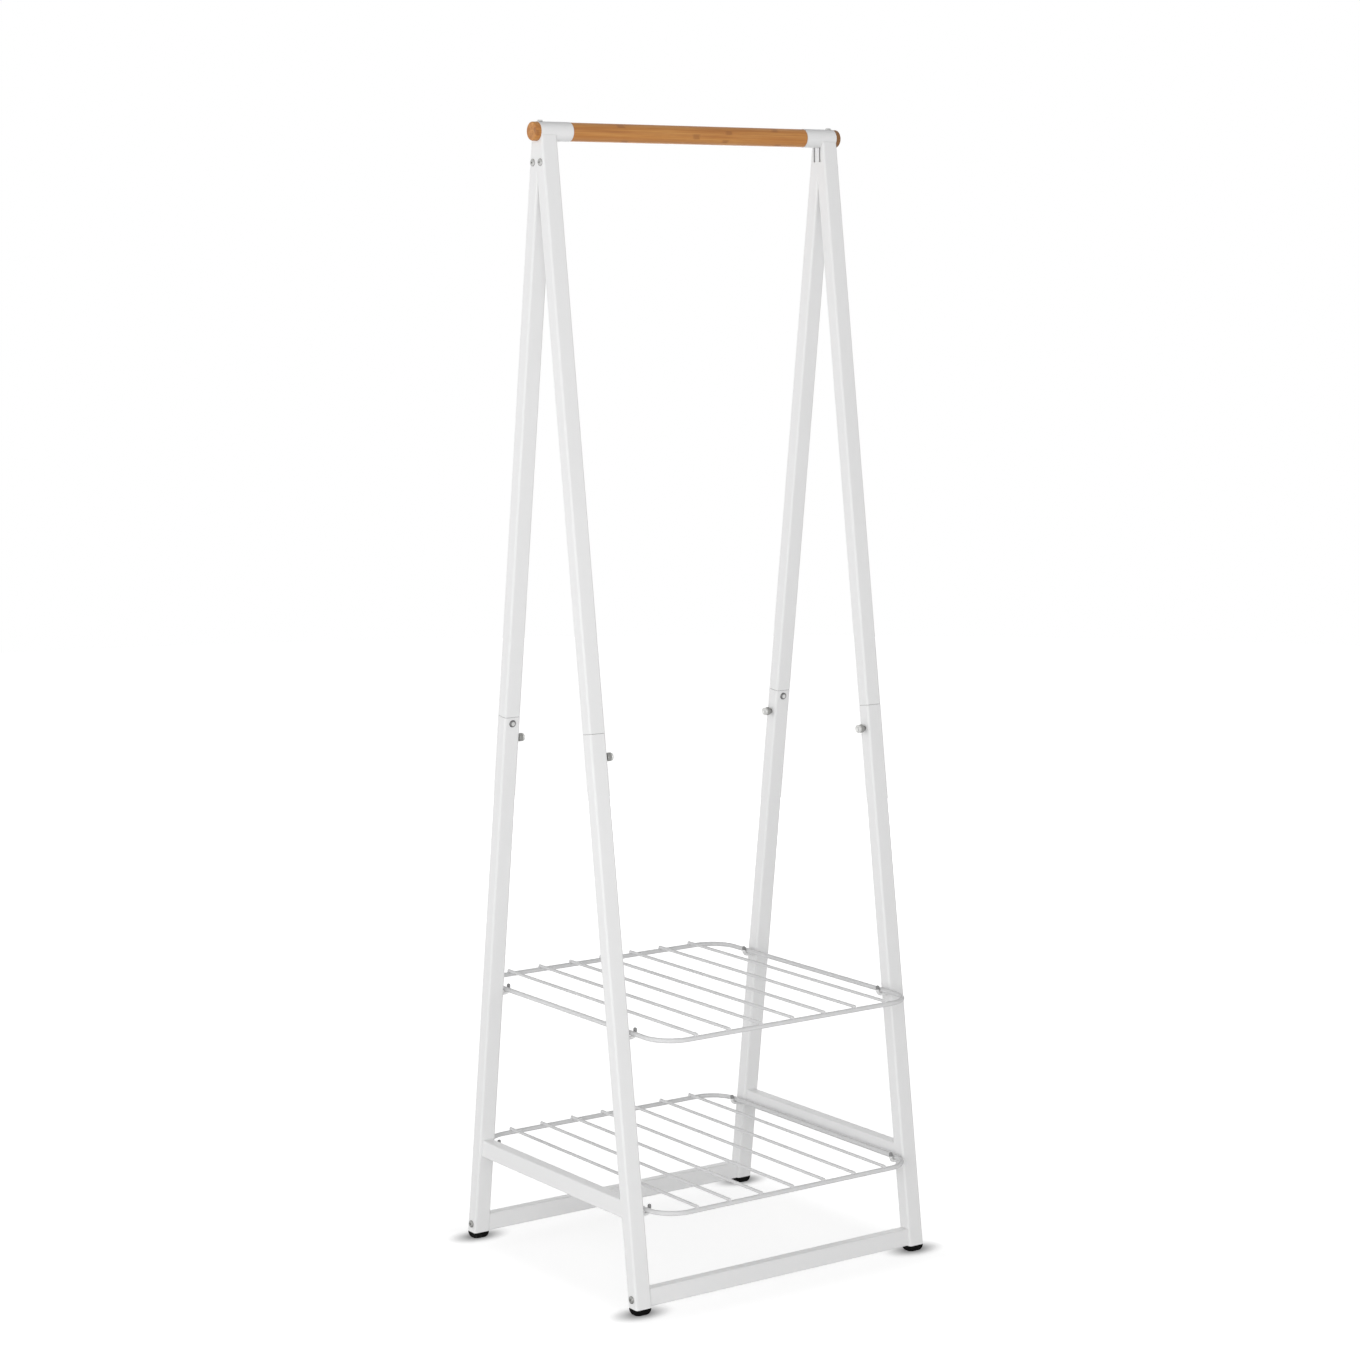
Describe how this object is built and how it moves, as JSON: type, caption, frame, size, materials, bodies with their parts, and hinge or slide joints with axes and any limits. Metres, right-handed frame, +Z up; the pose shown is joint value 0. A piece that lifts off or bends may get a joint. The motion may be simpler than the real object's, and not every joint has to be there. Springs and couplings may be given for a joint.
{
  "type": "clothes rack",
  "caption": "Free-standing A-frame clothes rack of white square tube with a bamboo hanging bar and lift-out wire shelves.",
  "frame": {"origin": "on the floor, at the middle of the four feet", "axes": "+X along the hanging bar to the right, -Y to the front, +Z up"},
  "size_m": [0.612, 0.57, 1.8981],
  "materials": {
    "white_steel": "satin powder coat",
    "bamboo": "lacquered satin",
    "zinc_steel": "zinc plated",
    "black_plastic": "matte"
  },
  "bodies": {
    "frame": {"hanging_bar": "bamboo", "bar_bracket_left": "white_steel", "end_cap_left": "bamboo", "side_rail_left": "white_steel", "bar_bracket_right": "white_steel", "end_cap_right": "bamboo", "side_rail_right": "white_steel", "floor_rail_front": "white_steel", "floor_rail_rear": "white_steel", "upper_leg_front_left": "white_steel", "lower_leg_front_left": "white_steel", "leg_connector_front_left": "zinc_steel", "button_spring_front_left": "zinc_steel", "foot_front_left": "black_plastic", "upper_leg_front_right": "white_steel", "lower_leg_front_right": "white_steel", "leg_connector_front_right": "zinc_steel", "button_spring_front_right": "zinc_steel", "foot_front_right": "black_plastic", "upper_leg_rear_left": "white_steel", "lower_leg_rear_left": "white_steel", "leg_connector_rear_left": "zinc_steel", "button_spring_rear_left": "zinc_steel", "foot_rear_left": "black_plastic", "upper_leg_rear_right": "white_steel", "lower_leg_rear_right": "white_steel", "leg_connector_rear_right": "zinc_steel", "button_spring_rear_right": "zinc_steel", "foot_rear_right": "black_plastic", "leg_top_bolts": "zinc_steel", "end_cap_screws": "zinc_steel", "floor_rail_bolts": "zinc_steel", "thumbscrew_nuts": "zinc_steel", "upper_shelf_hooks": "zinc_steel", "lower_shelf_hooks": "zinc_steel", "hook_nuts": "zinc_steel", "floor_rail_plugs": "black_plastic"},
    "snap_button_front_left": {"snap_button_front_left": "zinc_steel"},
    "snap_button_front_right": {"snap_button_front_right": "zinc_steel"},
    "snap_button_rear_left": {"snap_button_rear_left": "zinc_steel"},
    "snap_button_rear_right": {"snap_button_rear_right": "zinc_steel"},
    "thumbscrew_front_left": {"thumbscrew_front_left": "zinc_steel"},
    "thumbscrew_front_right": {"thumbscrew_front_right": "zinc_steel"},
    "thumbscrew_rear_left": {"thumbscrew_rear_left": "zinc_steel"},
    "thumbscrew_rear_right": {"thumbscrew_rear_right": "zinc_steel"},
    "upper_shelf": {"upper_shelf": "white_steel"},
    "lower_shelf": {"lower_shelf": "white_steel"}
  },
  "joints": [
    {"name": "press_front_left", "type": "slide", "parent": "frame", "child": "snap_button_front_left", "axis": [0, -0.9914, 0.1308], "range_m": [0, 0.004], "stiffness_N_per_m": 800, "springref_m": -0.003, "deforming": ["button_spring_front_left"]},
    {"name": "press_front_right", "type": "slide", "parent": "frame", "child": "snap_button_front_right", "axis": [0, -0.9914, 0.1308], "range_m": [0, 0.004], "stiffness_N_per_m": 800, "springref_m": -0.003, "deforming": ["button_spring_front_right"]},
    {"name": "press_rear_left", "type": "slide", "parent": "frame", "child": "snap_button_rear_left", "axis": [0, 0.9914, 0.1308], "range_m": [0, 0.004], "stiffness_N_per_m": 800, "springref_m": -0.003, "deforming": ["button_spring_rear_left"]},
    {"name": "press_rear_right", "type": "slide", "parent": "frame", "child": "snap_button_rear_right", "axis": [0, 0.9914, 0.1308], "range_m": [0, 0.004], "stiffness_N_per_m": 800, "springref_m": -0.003, "deforming": ["button_spring_rear_right"]},
    {"name": "turn_front_left", "type": "hinge", "parent": "frame", "child": "thumbscrew_front_left", "pos_m": [-0.2665, -0.13294, 0.88733], "axis": [1, 0, 0], "continuous": true},
    {"name": "turn_front_right", "type": "hinge", "parent": "frame", "child": "thumbscrew_front_right", "pos_m": [0.2665, -0.13294, 0.88733], "axis": [-1, 0, 0], "continuous": true},
    {"name": "turn_rear_left", "type": "hinge", "parent": "frame", "child": "thumbscrew_rear_left", "pos_m": [-0.2665, 0.13294, 0.88733], "axis": [1, 0, 0], "continuous": true},
    {"name": "turn_rear_right", "type": "hinge", "parent": "frame", "child": "thumbscrew_rear_right", "pos_m": [0.2665, 0.13294, 0.88733], "axis": [-1, 0, 0], "continuous": true},
    {"name": "lift_upper_shelf", "type": "slide", "parent": "frame", "child": "upper_shelf", "axis": [0, 0, 1], "range_m": [0, 0.4]},
    {"name": "lift_lower_shelf", "type": "slide", "parent": "frame", "child": "lower_shelf", "axis": [0, 0, 1], "range_m": [0, 0.25]}
  ]
}
